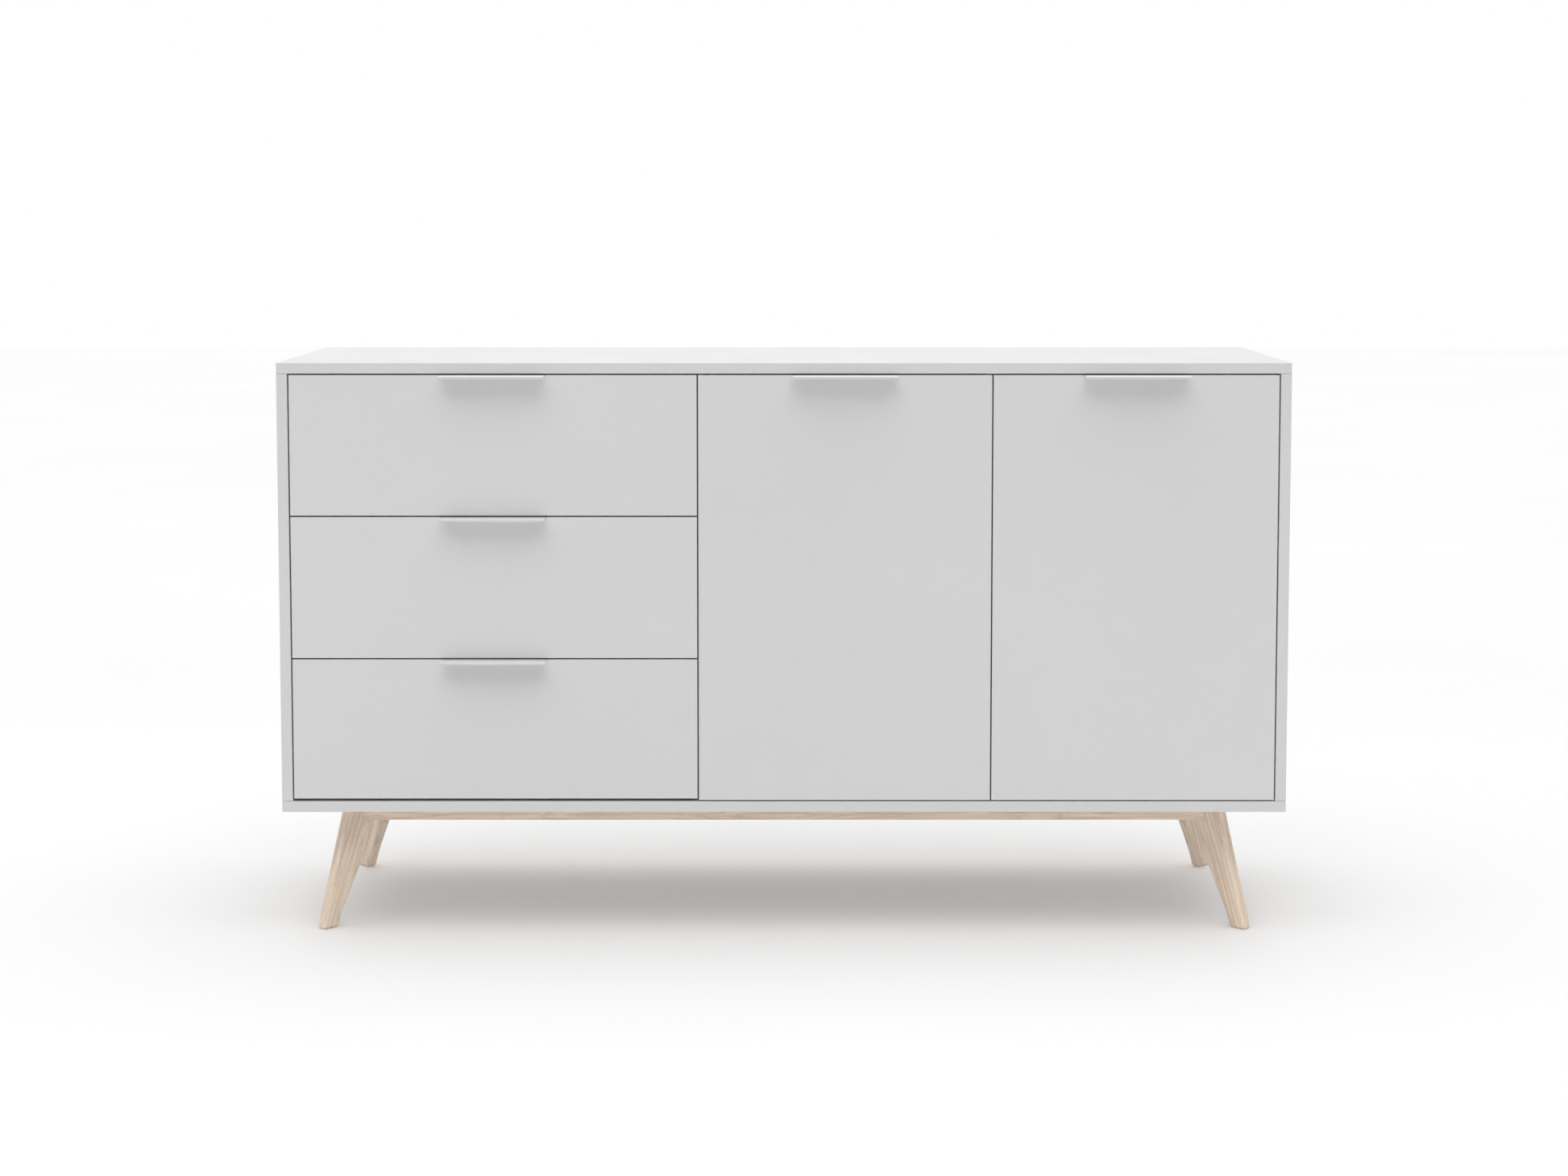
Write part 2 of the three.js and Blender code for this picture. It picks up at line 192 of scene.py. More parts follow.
class SideboardStage(bpy.types.PropertyGroup):
    """Where the camera stands, and the light."""

    camera_distance: length("Camera distance", "Camera in front of the sideboard's middle", 3.712)
    camera_height: length("Camera height", "Camera above the floor", 1.011)
    camera_pitch: bpy.props.FloatProperty(
        name="Camera pitch", description="How far the camera looks down",
        default=math.radians(4.256), subtype="ANGLE",
    )
    camera_lens: bpy.props.FloatProperty(
        name="Lens", description="Focal length on a 36 mm sensor",
        default=58.85, subtype="DISTANCE_CAMERA",
    )
    camera_shift: bpy.props.FloatProperty(
        name="Shift", description="Vertical shift of the lens, in sensor widths", default=-0.12
    )
    overhead: strength("Overhead light", "Strength of the light above on all but the floor", 2.65)
    shadow_light: strength("Shadow light", "Strength of the light above that shades the floor too", 0.35)
    floor_light: strength("Floor light", "Strength of the light on the floor alone", 2.12)
    side: bpy.props.FloatProperty(
        name="Side light", description="Power of the light at the left", default=2, subtype="POWER"
    )
    sky: strength("Sky", "Strength of the even light", 0.41)
    backdrop: strength("Backdrop", "Brightness of the plain backdrop", 1.0)


# ---------------------------------------------------------------- modelling helpers


def deselect():
    if bpy.context.object and bpy.context.object.mode != "OBJECT":
        bpy.ops.object.mode_set(mode="OBJECT")
    bpy.ops.object.select_all(action="DESELECT")


def only(obj):
    """Makes obj the one selected and active object."""
    deselect()
    obj.select_set(True)
    bpy.context.view_layer.objects.active = obj


def edit(obj, mode="FACE"):
    """Opens obj in edit mode with nothing selected."""
    only(obj)
    bpy.ops.object.mode_set(mode="EDIT")
    bpy.ops.mesh.select_mode(type=mode)
    bpy.ops.mesh.select_all(action="DESELECT")


def pick(obj, kind, test):
    """Selects the faces, edges or vertices of obj that pass the test, and opens it in edit mode."""
    edit(obj, {"polygons": "FACE", "edges": "EDGE", "vertices": "VERT"}[kind])
    bpy.ops.object.mode_set(mode="OBJECT")
    found = 0
    for element in getattr(obj.data, kind):
        element.select = bool(test(element))
        found += element.select
    if not found:
        raise RuntimeError(f"{obj.name}: nothing to shape among its {kind}")
    bpy.ops.object.mode_set(mode="EDIT")


def edge_middle(obj, edge):
    a, b = (obj.data.vertices[i].co for i in edge.vertices)
    return (a + b) / 2


def edge_direction(obj, edge):
    a, b = (obj.data.vertices[i].co for i in edge.vertices)
    return (b - a).normalized()


def push(offset):
    """Extrudes the selected faces or edges by offset."""
    bpy.ops.mesh.extrude_region_move(TRANSFORM_OT_translate={"value": offset})


def settle(obj):
    """Leaves edit mode and puts obj's place, turn and scale into its mesh."""
    only(obj)
    bpy.ops.object.transform_apply(location=True, rotation=True, scale=True)


def point_outwards(obj):
    """Merges doubled vertices and turns every face outwards."""
    edit(obj)
    bpy.ops.mesh.select_all(action="SELECT")
    bpy.ops.mesh.remove_doubles(threshold=MERGE)
    bpy.ops.mesh.normals_make_consistent(inside=False)
    bpy.ops.object.mode_set(mode="OBJECT")


def use_modifier(obj, kind, **values):
    """Adds a modifier with these values and applies it."""
    only(obj)
    modifier = obj.modifiers.new(kind.title(), kind)
    for name, value in values.items():
        setattr(modifier, name, value)
    bpy.ops.object.modifier_apply(modifier=modifier.name)


def round_edges(obj, radius, segments=2, sharpness=30, keep=None):
    """Rounds the sharp edges of obj, or those of them that keep accepts."""
    edit(obj, "EDGE")
    bpy.ops.mesh.edges_select_sharp(sharpness=math.radians(sharpness))
    if keep:
        bpy.ops.object.mode_set(mode="OBJECT")
        kept = {edge.index for edge in obj.data.edges if edge.select and keep(edge)}
        pick(obj, "edges", lambda edge: edge.index in kept)
    bpy.ops.mesh.bevel(offset=radius, segments=segments, affect="EDGES", clamp_overlap=True)
    bpy.ops.object.mode_set(mode="OBJECT")


def smooth(obj, angle=40):
    """Shades obj smoothly, with its flat faces left flat."""
    only(obj)
    bpy.ops.object.shade_smooth_by_angle(angle=math.radians(angle))
    use_modifier(obj, "WEIGHTED_NORMAL", weight=80, keep_sharp=True)


def give(obj, *materials):
    obj.data.materials.clear()
    for material in materials:
        obj.data.materials.append(material)


def copy_solid(node, name):
    """A clean copy of a solid: its triangles merged and its flat faces joined."""
    only(frame["nodes"][node])
    bpy.ops.object.duplicate()
    piece = bpy.context.object
    piece.name = name
    del piece["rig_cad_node"]
    bpy.ops.mesh.customdata_custom_splitnormals_clear()
    edit(piece)
    bpy.ops.mesh.select_all(action="SELECT")
    bpy.ops.mesh.remove_doubles(threshold=MERGE)
    bpy.ops.mesh.dissolve_limited(angle_limit=math.radians(0.5))
    bpy.ops.object.mode_set(mode="OBJECT")
    return piece


def copy_piece(piece, name, matrix):
    """A copy of piece with its own mesh, moved by matrix."""
    copy = piece.copy()
    copy.data = piece.data.copy()
    copy.name = name
    bpy.context.scene.collection.objects.link(copy)
    copy.matrix_world = matrix @ piece.matrix_world
    settle(copy)
    return copy


def join(pieces, name):
    deselect()
    for piece in pieces:
        piece.select_set(True)
    bpy.context.view_layer.objects.active = pieces[0]
    if len(pieces) > 1:
        bpy.ops.object.join()
    pieces[0].name = name
    return pieces[0]


def remove(*objects):
    for obj in objects:
        bpy.data.objects.remove(obj)


def cut(obj, tool):
    """Cuts tool out of obj."""
    use_modifier(obj, "BOOLEAN", object=tool, operation="DIFFERENCE", solver="EXACT")
    remove(tool)


def cylinder(name, radius, depth, place, direction, sides=32):
    """A cylinder whose axis lies along direction, centred at place."""
    deselect()
    turn = Vector(direction).to_track_quat("Z", "Y").to_euler()
    bpy.ops.mesh.primitive_cylinder_add(
        vertices=sides, radius=radius, depth=depth, location=place, rotation=turn
    )
    obj = bpy.context.object
    obj.name = name
    settle(obj)
    return obj


def block(name, low, high):
    """A box between two corners."""
    deselect()
    low, high = Vector(low), Vector(high)
    bpy.ops.mesh.primitive_cube_add(size=1, location=(low + high) / 2)
    obj = bpy.context.object
    obj.name = name
    obj.scale = high - low
    settle(obj)
    return obj


def seat(piece, body, slot, *nodes):
    """Settles a finished piece, hands it to its body and hides the solids that it stands for; its slot
    is not used.
    """
    settle(piece)
    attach(piece, body)
    if nodes:
        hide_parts(*nodes)


# ---------------------------------------------------------------- materials


class Surface:
    """A new material, with short ways to add its texture nodes."""

    def __init__(self, name, roughness, metallic=0.0, specular=0.5):
        self.material = bpy.data.materials.new(name)
        self.material.use_nodes = True
        self.tree = self.material.node_tree
        self.shader = self.tree.nodes["Principled BSDF"]
        self.shader.inputs["Roughness"].default_value = roughness
        self.shader.inputs["Metallic"].default_value = metallic
        self.shader.inputs["Specular IOR Level"].default_value = specular
        self.place = self.add("ShaderNodeTexCoord").outputs["Object"]

    def add(self, kind, **inputs):
        node = self.tree.nodes.new(kind)
        for name, value in inputs.items():
            self.put(node.inputs[name.replace("_", " ")], value)
        return node

    def put(self, socket, value):
        if isinstance(value, bpy.types.NodeSocket):
            self.tree.links.new(value, socket)
        else:
            socket.default_value = value

    def noise(self, scale, detail=2.0, vector=None, distortion=0.0, roughness=0.5):
        node = self.add(
            "ShaderNodeTexNoise", Vector=vector or self.place, Scale=scale, Detail=detail,
            Distortion=distortion, Roughness=roughness,
        )
        return node.outputs["Fac"]

    def frame_of(self, centre, turn, stretch):
        """Coordinates from centre, turned and divided by stretch along each of the turned axes."""
        node = self.add(
            "ShaderNodeMapping", Vector=self.place, Location=centre, Rotation=turn, Scale=stretch
        )
        node.vector_type = "TEXTURE"
        return node.outputs["Vector"]

    def steps(self, value, stops):
        """A colour ramp over value, from (position, colour) stops."""
        node = self.add("ShaderNodeValToRGB", Fac=value)
        elements = node.color_ramp.elements
        while len(elements) < len(stops):
            elements.new(0.5)
        for element, (position, rgb) in zip(elements, stops):
            element.position = position
            element.color = (*rgb, 1)
        return node.outputs["Color"]

    def span(self, value, low, high, source=(0.0, 1.0)):
        node = self.add("ShaderNodeMapRange", Value=value)
        node.inputs["From Min"].default_value, node.inputs["From Max"].default_value = source
        node.inputs["To Min"].default_value, node.inputs["To Max"].default_value = low, high
        return node.outputs["Result"]

    def mix(self, factor, a, b):
        node = self.tree.nodes.new("ShaderNodeMix")
        node.data_type = "RGBA"
        colour_a, colour_b, result = node.inputs[6], node.inputs[7], node.outputs[2]
        for socket, value in ((node.inputs["Factor"], factor), (colour_a, a), (colour_b, b)):
            self.put(socket, (*value, 1) if isinstance(value, tuple) else value)
        return result

    def maths(self, operation, value, other):
        node = self.add("ShaderNodeMath", Value=value)
        node.operation = operation
        node.inputs[1].default_value = other
        return node.outputs[0]

    def finish(self, colour=None, roughness=None, height=None, bump=0.1, depth=0.1 * MM):
        if colour is not None:
            self.put(self.shader.inputs["Base Color"], colour)
        if roughness is not None:
            self.put(self.shader.inputs["Roughness"], roughness)
        if height is not None:
            node = self.add("ShaderNodeBump", Height=height, Strength=bump, Distance=depth)
            self.put(self.shader.inputs["Normal"], node.outputs["Normal"])
        return self.material


def shade(rgb, factor):
    """A colour made darker or lighter, and no lighter than white."""
    return tuple(min(1.0, c * factor) for c in rgb)


def melamine(name, rgb):
    """Printed melamine: a very fine pearl texture with faint clouding."""
    s = Surface(name, 0.5, specular=0.4)
    cloud = s.noise(2.2, detail=3)
    tone = s.steps(cloud, [(0.3, shade(rgb, 0.985)), (0.7, shade(rgb, 1.012))])
    pearl = s.noise(700, detail=2)
    smear = s.noise(14, detail=4)
    return s.finish(tone, s.span(smear, 0.44, 0.56, (0.3, 0.7)), pearl, bump=0.12, depth=0.05 * MM)


def edge_band(name, rgb):
    """Plastic band: smoother than the faces, with faint scraper marks along it."""
    s = Surface(name, 0.42, specular=0.45)
    marks = s.noise(180, detail=3, roughness=0.7)
    tone = s.steps(marks, [(0.3, shade(rgb, 0.975)), (0.7, shade(rgb, 1.01))])
    return s.finish(tone, s.span(marks, 0.36, 0.48, (0.3, 0.7)), marks, bump=0.05, depth=0.04 * MM)


def pressed_board(name, rgb):
    """Thin hardboard with a printed face: short pressed fibres show through."""
    s = Surface(name, 0.68, specular=0.3)
    fibres = s.noise(260, detail=6, distortion=1.4, roughness=0.65)
    clouds = s.noise(9, detail=3)
    tone = s.steps(fibres, [(0.3, shade(rgb, 0.94)), (0.6, shade(rgb, 1)), (0.8, shade(rgb, 1.03))])
    worn = s.mix(s.span(clouds, 0.0, 0.35, (0.4, 0.7)), tone, shade(rgb, 0.95))
    return s.finish(worn, s.span(fibres, 0.6, 0.76, (0.3, 0.7)), fibres, bump=0.25, depth=0.08 * MM)


def powder_coat(name, rgb):
    """Fine orange-peel coat on bent sheet."""
    s = Surface(name, 0.36, specular=0.5)
    peel = s.noise(1100, detail=2)
    tone = s.steps(s.noise(30, detail=2), [(0.3, shade(rgb, 0.985)), (0.7, shade(rgb, 1.01))])
    return s.finish(tone, s.span(peel, 0.3, 0.42, (0.3, 0.7)), peel, bump=0.14, depth=0.04 * MM)


def plating(name, rgb, grain, low, high):
    """Plated steel, with a faint rolling grain along grain and handling marks."""
    s = Surface(name, 0.3, metallic=1.0)
    stretch = tuple(0.05 if axis == grain else 0.0006 for axis in range(3))
    lines = s.noise(1, detail=3, vector=s.frame_of((0, 0, 0), (0, 0, 0), stretch))
    marks = s.noise(45, detail=3)
    tone = s.steps(lines, [(0.3, shade(rgb, 0.94)), (0.7, shade(rgb, 1.04))])
    dull = s.mix(s.span(marks, 0.0, 0.4, (0.4, 0.8)), tone, shade(rgb, 0.92))
    return s.finish(dull, s.span(marks, low, high, (0.3, 0.7)), lines, bump=0.06, depth=0.03 * MM)


def moulded_plastic(name, rgb):
    """Spark-textured moulded plastic."""
    s = Surface(name, 0.5, specular=0.4)
    spark = s.noise(1500, detail=2)
    tone = s.steps(s.noise(90, detail=2), [(0.3, shade(rgb, 0.97)), (0.7, shade(rgb, 1.02))])
    return s.finish(tone, s.span(spark, 0.42, 0.6, (0.3, 0.7)), spark, bump=0.15, depth=0.03 * MM)


def ash(name, light, dark, centre, turn):
    """Clear-lacquered ash: contour lines of early wood, long streaks and short pores along a plank."""
    s = Surface(name, 0.45, specular=0.35)
    broad, long, short = (
        s.frame_of(centre, turn, stretch)
        for stretch in ((0.36, 0.034, 0.026), (0.16, 0.0032, 0.0032), (0.012, 0.0005, 0.0005))
    )
    figure = s.noise(1, detail=1.5, vector=broad, distortion=0.2)
    fold = s.maths("PINGPONG", s.maths("MULTIPLY", figure, 11), 0.5)
    lines = s.span(fold, 0.0, 1.0, (0.0, 0.5))
    streaks = s.noise(1, detail=5, vector=long, roughness=0.6)
    pores = s.noise(1, detail=2, vector=short)
    stops = [(0.0, shade(light, 0.84)), (0.25, shade(light, 0.97)), (1.0, shade(light, 1.06))]
    base = s.steps(lines, stops)
    streaked = s.mix(s.span(streaks, 0.0, 0.85, (0.45, 0.72)), base, shade(dark, 1))
    tone = s.mix(s.span(pores, 0.0, 0.6, (0.56, 0.70)), streaked, shade(dark, 0.8))
    rough = s.span(streaks, 0.38, 0.55, (0.3, 0.7))
    return s.finish(tone, rough, pores, bump=0.12, depth=0.08 * MM)


def finishes():
    """Every shared material, made once."""
    f = bpy.context.scene.sideboard_finishes
    makers = {
        "white melamine": lambda n: melamine(n, f.white),
        "white edge band": lambda n: edge_band(n, f.band),
        "printed hardboard": lambda n: pressed_board(n, f.hardboard),
        "white powder coat": lambda n: powder_coat(n, f.coat),
        "nickel plate": lambda n: plating(n, f.nickel, 2, 0.2, 0.36),
        "zinc plate": lambda n: plating(n, f.zinc, 1, 0.32, 0.5),
        "moulded white plastic": lambda n: moulded_plastic(n, f.plastic),
    }
    return {name: bpy.data.materials.get(name) or make(name) for name, make in makers.items()}


# ---------------------------------------------------------------- boards


def thin_axis(obj):
    size = obj.dimensions
    return min(range(3), key=lambda axis: size[axis])


def edge_board(node):
    """A board with banded edges and softened arrises."""
    sizes = bpy.context.scene.sideboard_sizes
    kit = finishes()
    printed = SLOT_OF[node] == "white_hardboard"
    face, band = ("printed hardboard",) * 2 if printed else ("white melamine", "white edge band")
    piece = copy_solid(node, f"{node}_edged")
    give(piece, kit[face], kit[band])
    axis = thin_axis(piece)
    for polygon in piece.data.polygons:
        polygon.material_index = 0 if abs(polygon.normal[axis]) > 0.5 else 1
    round_edges(piece, sizes.arris / 3 if printed else sizes.arris)
    return piece


def drill_rows(piece, shelf, face_x):
    """Two rows of holes for shelf pins, in the face of a board at face_x."""
    sizes = bpy.context.scene.sideboard_sizes
    tools = [
        cylinder("drill", sizes.hole, 2 * HOLE_DEPTH, (face_x, y, z), RIGHT, sides=16)
        for y in pin_rows(shelf)
        for z in hole_heights(shelf)
    ]
    cut(piece, join(tools, "drills"))


def pin_rows(shelf):
    """Depths of the front and rear pins of a shelf."""
    low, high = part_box(shelf)
    return low.y + PIN_FROM_FRONT, high.y - PIN_FROM_REAR


def pin_height(shelf):
    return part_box(shelf)[0].z - bpy.context.scene.sideboard_sizes.hole - PIN_PLAY


def hole_heights(shelf, each_way=3):
    """Heights of the holes in a row, with as many above the pin as below it."""
    pitch = bpy.context.scene.sideboard_sizes.hole_pitch
    return [pin_height(shelf) + step * pitch for step in range(-each_way, each_way + 1)]


class SIDEBOARD_OT_boards(bpy.types.Operator):
    """Edge and finish every board, and drill the rows of shelf holes"""

    bl_idname = "sideboard.boards"
    bl_label = "Boards"

    def execute(self, context):
        drilled = {
            "divider_left": [("shelf_left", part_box("divider_left")[1].x)],
            "divider_right": [
                ("shelf_left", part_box("divider_right")[0].x),
                ("shelf_right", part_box("divider_right")[1].x),
            ],
            "side_right": [("shelf_right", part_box("side_right")[1].x - board_thickness())],
        }
        for node, slot in SLOT_OF.items():
            if slot not in ("white_melamine", "white_hardboard"):
                continue
            piece = edge_board(node)
            for shelf, face_x in drilled.get(node, ()):
                drill_rows(piece, shelf, face_x)
            seat(piece, BODY_OF[node], slot, node)
        return {"FINISHED"}


def board_thickness():
    low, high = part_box("top_board")
    return high.z - low.z


# ---------------------------------------------------------------- legs and rails


def case_box():
    """The case without its pulls and legs."""
    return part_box("bottom_board")[0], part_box("top_board")[1]


def leg_outline(count=14):
    """Inner and outer edge of a leg and the height they are at, from the floor up."""
    sizes = bpy.context.scene.sideboard_sizes
    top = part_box("leg_front_left")[1].z
    ends = (sizes.leg_foot, 0), (sizes.leg_splay + sizes.leg_top, top)
    pulls = (
        (sizes.leg_foot + sizes.leg_splay * LOW_PULL[0], top * LOW_PULL[1]),
        (sizes.leg_splay + sizes.leg_top * HIGH_PULL[0], top * HIGH_PULL[1]),
    )
    for step in range(count + 1):
        t = step / count
        inner, height = (
            (1 - t) ** 3 * ends[0][k]
            + 3 * (1 - t) ** 2 * t * pulls[0][k]
            + 3 * (1 - t) * t**2 * pulls[1][k]
            + t**3 * ends[1][k]
            for k in range(2)
        )
        yield sizes.leg_splay * height / top, inner, height


def model_leg():
    """One leg: a plank along +X at its foot, extruded up ring by ring and rounded over."""
    sizes = bpy.context.scene.sideboard_sizes
    rings = list(leg_outline())
    outer, inner, height = rings[0]
    bpy.ops.mesh.primitive_plane_add(size=1, location=((outer + inner) / 2, 0, height))
    leg = bpy.context.object
    leg.name = "leg_blank"
    leg.scale = (inner - outer, sizes.leg_thickness, 1)
    settle(leg)
    edit(leg)
    bpy.ops.mesh.select_all(action="SELECT")
    for (outer, inner, height), (next_outer, next_inner, next_height) in zip(rings, rings[1:]):
        middle, next_middle = (outer + inner) / 2, (next_outer + next_inner) / 2
        push((next_middle - middle, 0, next_height - height))
        bpy.ops.transform.resize(
            value=((next_inner - next_outer) / (inner - outer), 1, 1),
            center_override=(next_middle, 0, next_height),
        )
    bpy.ops.object.mode_set(mode="OBJECT")
    point_outwards(leg)
    top = rings[-1][2] - 1 * MM
    round_edges(
        leg, sizes.leg_round, segments=5, sharpness=50,
        keep=lambda edge: edge_middle(leg, edge).z < top,
    )
    smooth(leg, 50)
    return leg


class SIDEBOARD_OT_legs(bpy.types.Operator):
    """Shape the four splayed legs"""

    bl_idname = "sideboard.legs"
    bl_label = "Legs"

    def execute(self, context):
        sizes = context.scene.sideboard_sizes
        f = context.scene.sideboard_finishes
        deselect()
        blank = model_leg()
        low, high = case_box()
        middle = (low + high) / 2
        corner = sizes.leg_thickness / 2 / math.sqrt(2)
        reach = Vector((
            (high.x - low.x) / 2 - sizes.foot_inset_x - corner,
            (high.y - low.y) / 2 - sizes.foot_inset_y - corner,
        ))
        lean = math.atan2(sizes.leg_splay + sizes.leg_top / 2 - sizes.leg_foot / 2, blank.dimensions.z)
        for depth, side_y in (("front", -1), ("rear", 1)):
            for side, side_x in (("left", -1), ("right", 1)):
                node = f"leg_{depth}_{side}"
                inward = math.atan2(-side_y, -side_x)
                foot = Vector((middle.x + side_x * reach.x, middle.y + side_y * reach.y, 0))
                place = Matrix.Translation(foot) @ Matrix.Rotation(inward, 4, "Z")
                leg = copy_piece(blank, f"{node}_shaped", place)
                along = Matrix.Rotation(inward, 4, "Z") @ Matrix.Rotation(lean - math.pi / 2, 4, "Y")
                give(leg, ash(f"ash of {node}", f.ash, f.ash_grain, foot, along.to_euler()))
                seat(leg, BODY_OF[node], SLOT_OF[node], node)
        remove(blank)
        return {"FINISHED"}


class SIDEBOARD_OT_rails(bpy.types.Operator):
    """Round and grain the four rails of the base"""

    bl_idname = "sideboard.rails"
    bl_label = "Rails"

    def execute(self, context):
        sizes = context.scene.sideboard_sizes
        f = context.scene.sideboard_finishes
        for node in ("rail_front", "rail_rear", "rail_left", "rail_right"):
            rail = copy_solid(node, f"{node}_shaped")
            low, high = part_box(node)
            turn = 0 if high.x - low.x > high.y - low.y else math.pi / 2
            give(rail, ash(f"ash of {node}", f.ash, f.ash_grain, low, (0, 0, turn)))
            round_edges(rail, sizes.rail_arris, segments=3)
            smooth(rail)
            seat(rail, BODY_OF[node], SLOT_OF[node], node)
        return {"FINISHED"}


# ---------------------------------------------------------------- pulls


def fold_pull(node):
    """A pull folded from sheet: over a front's top edge, down behind it, and down again at its lip."""
    sizes = bpy.context.scene.sideboard_sizes
    low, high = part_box(node)
    half = sizes.pull_sheet / 2
    top = high.z - half
    front, rear = low.y + half, high.y - half
    deselect()
    bpy.ops.mesh.primitive_plane_add(size=1, location=((low.x + high.x) / 2, (front + rear) / 2, top))
    pull = bpy.context.object
    pull.name = f"{node}_folded"
    pull.scale = (high.x - low.x, rear - front, 1)
    settle(pull)
    pick(pull, "edges", lambda e: abs(edge_middle(pull, e).y - rear) < half)
    push((0, 0, low.z - top))
    pick(pull, "edges", lambda e: abs(edge_middle(pull, e).y - front) < half)
    push((0, 0, half - LIP_DROP))
    pick(
        pull, "edges",
        lambda e: abs(edge_middle(pull, e).z - top) < half / 2 and abs(edge_direction(pull, e).x) > 0.9,
    )
    bpy.ops.mesh.bevel(offset=sizes.pull_fold, segments=5, affect="EDGES")
    lowest = {round(low.z, 6), round(high.z - LIP_DROP, 6)}
    ends = {round(low.x, 5), round(high.x, 5)}

    def free_corner(vertex):
        at_end = round(vertex.co.x, 5) in ends
        return at_end and any(abs(vertex.co.z - z) < half for z in lowest)

    pick(pull, "vertices", free_corner)
    bpy.ops.mesh.bevel(offset=sizes.pull_corner, segments=4, affect="VERTICES")
    point_outwards(pull)
    use_modifier(pull, "SOLIDIFY", thickness=sizes.pull_sheet, offset=0, use_even_offset=True)
    round_edges(pull, BURR, segments=2, sharpness=60)
    smooth(pull)
    return pull


class SIDEBOARD_OT_pulls(bpy.types.Operator):
    """Fold the five edge pulls"""

    bl_idname = "sideboard.pulls"
    bl_label = "Pulls"

    def execute(self, context):
        coat = finishes()["white powder coat"]
        names = [f"pull_drawer_{d}" for d in DRAWERS] + [f"pull_door_{d}" for d in DOORS]
        for node in names:
            pull = fold_pull(node)
            give(pull, coat)
            seat(pull, BODY_OF[node], SLOT_OF[node], node)
        return {"FINISHED"}


# ---------------------------------------------------------------- hinges and runners


def model_cup(node):
    """A hinge cup, hollowed and flanged, with its mouth towards the inside of the cupboard."""
    low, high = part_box(node)
    centre = (low + high) / 2
    radius = (high.x - low.x) / 2 - CUP_RIM
    cup = cylinder(f"{node}_pressed", radius, high.y - low.y, centre, REAR, sides=48)
    pick(cup, "polygons", lambda p: p.normal.y > 0.9)
    bpy.ops.mesh.inset(thickness=CUP_WALL)
    push((0, low.y - high.y + CUP_WALL, 0))
    bpy.ops.object.mode_set(mode="OBJECT")
    round_edges(cup, 0.4 * MM, segments=2, sharpness=60)
    wing = block(
        "wing",
        (centre.x - WING_SHORT, high.y - CUP_WALL, centre.z - WING_HALF),
        (centre.x + WING_LONG, high.y, centre.z + WING_HALF),
    )
    round_edges(wing, WING_CORNER, segments=6, keep=lambda e: abs(edge_direction(wing, e).y) > 0.9)
    mouth = centre.x, high.y, centre.z
    cut(wing, cylinder("mouth", radius - CUP_WALL / 2, 4 * CUP_WALL, mouth, REAR, sides=48))
    round_edges(wing, BURR, segments=1, sharpness=60)
    cup = join([cup, wing], f"{node}_pressed")
    smooth(cup)
    return cup


def outward(door):
    """+1 where a door's hinges reach towards +X from their wall, -1 where they reach towards -X."""
    return 1 if door == "left" else -1


def plate_face(node, door):
    """Place along X of the face of a hinge's mounting plate."""
    low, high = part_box(node)
    return low.x + PLATE if door == "left" else high.x - PLATE


def model_arm(node, door):
    """A hinge arm: its thin plate with round corners, and its cranked channel with rolled edges."""
    low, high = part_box(node)
    side, face = outward(door), plate_face(node, door)
    wall = face - side * PLATE
    plate = block(
        f"{node}_plate",
        (min(wall, face), high.y - PLATE_LENGTH, low.z),
        (max(wall, face), high.y, high.z),
    )
    round_edges(plate, PLATE_CORNER, segments=5, keep=lambda e: abs(edge_direction(plate, e).x) > 0.9)
    round_edges(plate, 0.3 * MM, segments=1, sharpness=60)
    channel = copy_solid(node, f"{node}_channel")
    edit(channel)
    bpy.ops.mesh.select_all(action="SELECT")
    bpy.ops.mesh.bisect(
        plane_co=(face + side * CHANNEL_LIFT, 0, 0), plane_no=(side, 0, 0),
        use_fill=True, clear_inner=True, threshold=CHANNEL_LIFT / 100,
    )
    bpy.ops.object.mode_set(mode="OBJECT")
    point_outwards(channel)
    near = 3 * CHANNEL_LIFT
    pick(channel, "polygons", lambda p: abs(p.center.x - face) < near and side * p.normal.x < -0.9)
    push((-side * CHANNEL_SINK, 0, 0))
    bpy.ops.object.mode_set(mode="OBJECT")
    round_edges(
        channel, CHANNEL_ROUND, segments=4,
        keep=lambda e: side * (edge_middle(channel, e).x - face) > near,
    )
    arm = join([plate, channel], f"{node}_pressed")
    smooth(arm)
    return arm


def model_link(name, door, cup, pivot):
    """Two curved strips from a hinge's arm into its cup, round the door's axis."""
    middle = sum(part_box(cup), Vector()) / 2
    side = outward(door)
    strips = []
    for radius in LINK_RADII:
        deselect()
        reach = radius * Vector((side * math.cos(LINK_FROM), math.sin(LINK_FROM), 0))
        bpy.ops.mesh.primitive_plane_add(
            size=1,
            location=(pivot.x + reach.x, pivot.y + reach.y, middle.z),
            rotation=(math.pi / 2, 0, side * LINK_FROM),
        )
        strip = bpy.context.object
        strip.scale = (LINK_THICK, LINK_WIDE, 1)
        settle(strip)
        edit(strip)
        bpy.ops.mesh.select_all(action="SELECT")
        bpy.ops.mesh.spin(
            steps=18, angle=side * (LINK_TO - LINK_FROM),
            center=(pivot.x, pivot.y, middle.z), axis=(0, 0, -1),
        )
        bpy.ops.object.mode_set(mode="OBJECT")
        if rearmost(strip) < pivot.y + reach.y + LINK_THICK:
            raise RuntimeError(f"{name} turned the wrong way")
        point_outwards(strip)
        strips.append(strip)
    link = join(strips, name)
    smooth(link, 50)
    return link


def rearmost(obj):
    return max(vertex.co.y for vertex in obj.data.vertices)


def bend_link(link):
    """Puts a link's place and turn into its mesh; the link is handed to no body."""
    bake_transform(link)


